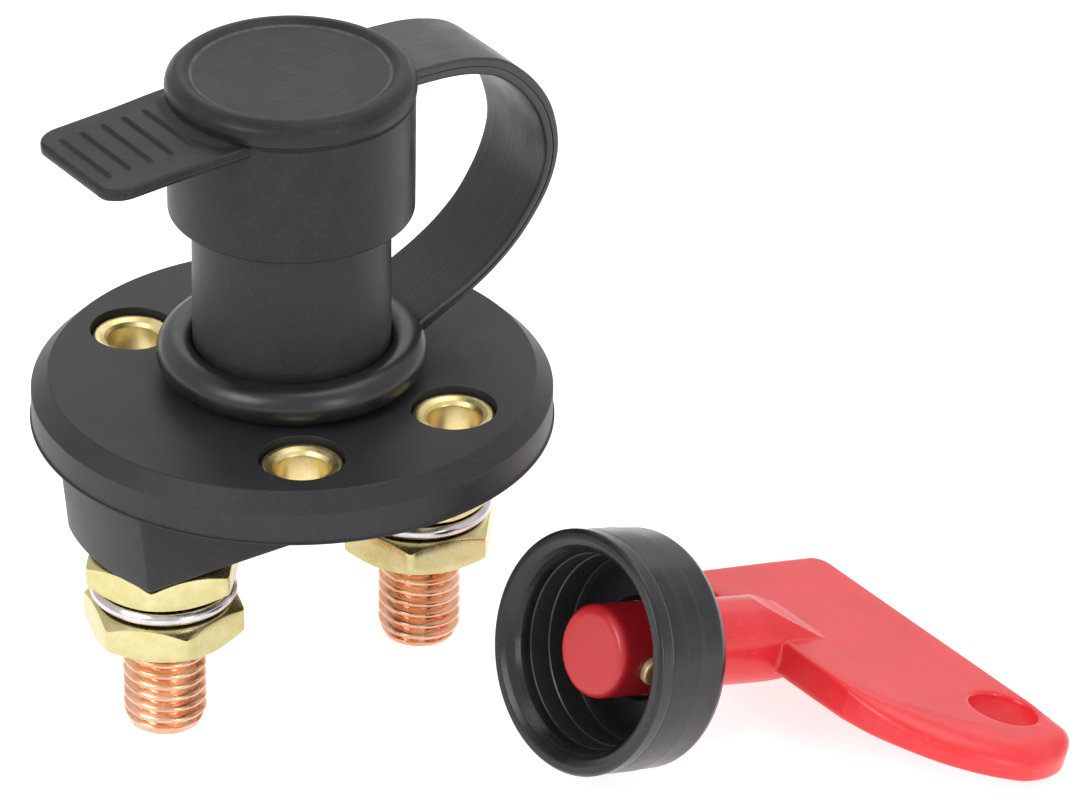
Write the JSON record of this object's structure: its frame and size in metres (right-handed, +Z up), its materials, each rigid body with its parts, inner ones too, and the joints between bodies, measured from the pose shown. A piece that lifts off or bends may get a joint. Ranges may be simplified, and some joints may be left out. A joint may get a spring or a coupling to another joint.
{
  "type": "battery switch",
  "caption": "Panel-mounted battery isolating switch with two threaded studs, a tethered push-on weather cap, and a removable turn key with a rubber spray boot.",
  "frame": {"origin": "where the neck's axis meets the underside of the base plate, at the bottom of the switch body", "axes": "+Z up the neck, +X along the line of the two studs towards the cover's strap, +Y completes a right-handed frame and points away from the key"},
  "size_m": [0.096, 0.1018, 0.0816],
  "materials": {
    "black_plastic": "satin charcoal moulding",
    "black_rubber": "satin black rubber, slightly dusty",
    "boot_rubber": "semi-gloss black",
    "eyelet_brass": "bright brass",
    "nut_brass": "pale bright brass",
    "washer_steel": "bright steel",
    "stud_copper": "copper, rolled thread",
    "bridge_copper": "copper",
    "spring_steel": "drawn wire",
    "grey_nylon": "natural grey",
    "base_phenolic": "dark moulding compound",
    "red_plastic": "semi-gloss signal red",
    "pin_brass": "drawn brass rod"
  },
  "bodies": {
    "switch_body": {"housing": "black_plastic", "base_plate": "base_phenolic", "eyelet_a": "eyelet_brass", "eyelet_b": "eyelet_brass", "eyelet_c": "eyelet_brass", "eyelet_d": "eyelet_brass", "stud_a": "stud_copper", "stud_b": "stud_copper", "upper_nut_a": "nut_brass", "upper_nut_b": "nut_brass", "spring_washer_a": "washer_steel", "spring_washer_b": "washer_steel", "lower_nut_a": "nut_brass", "lower_nut_b": "nut_brass", "return_spring": "spring_steel"},
    "sleeve": {"drive_sleeve": "grey_nylon"},
    "contact_carrier": {"plunger": "grey_nylon", "contact_bridge": "bridge_copper"},
    "cover": {"cover_ring": "black_rubber", "cover_strap": "black_rubber"},
    "cap": {"cover_cap": "black_rubber"},
    "key": {"key_handle": "red_plastic", "key_pin": "pin_brass"},
    "boot": {"key_boot": "boot_rubber"}
  },
  "joints": [
    {"name": "cover_swivel", "type": "hinge", "parent": "switch_body", "child": "cover", "pos_m": [0, 0, 0.02], "axis": [0, 0, 1], "continuous": true},
    {"name": "cap_lift", "type": "slide", "parent": "cover", "child": "cap", "axis": [0, 0, 1], "range_m": [0, 0.018]},
    {"name": "sleeve_turn", "type": "hinge", "parent": "switch_body", "child": "sleeve", "pos_m": [0, 0, 0.0408], "axis": [0, 0, -1], "range_deg": [0, 90]},
    {"name": "plunger_press", "type": "slide", "parent": "switch_body", "child": "contact_carrier", "axis": [0, 0, -1], "range_m": [0, 0.003], "stiffness_N_per_m": 400, "springref_m": -0.002, "deforming": ["return_spring"]},
    {"name": "key_lift", "type": "slide", "parent": "switch_body", "child": "key", "axis": [0.2595, -0.6577, 0.7071], "range_m": [0, 0.1]},
    {"name": "boot_turn", "type": "hinge", "parent": "key", "child": "boot", "pos_m": [0.01549, -0.03927, -0.00623], "axis": [0.9541, 0.0757, -0.2896], "continuous": true}
  ],
  "couplings": [
    {"joint": "sleeve_turn", "follows": "plunger_press", "rad_per_m": 523.6}
  ]
}
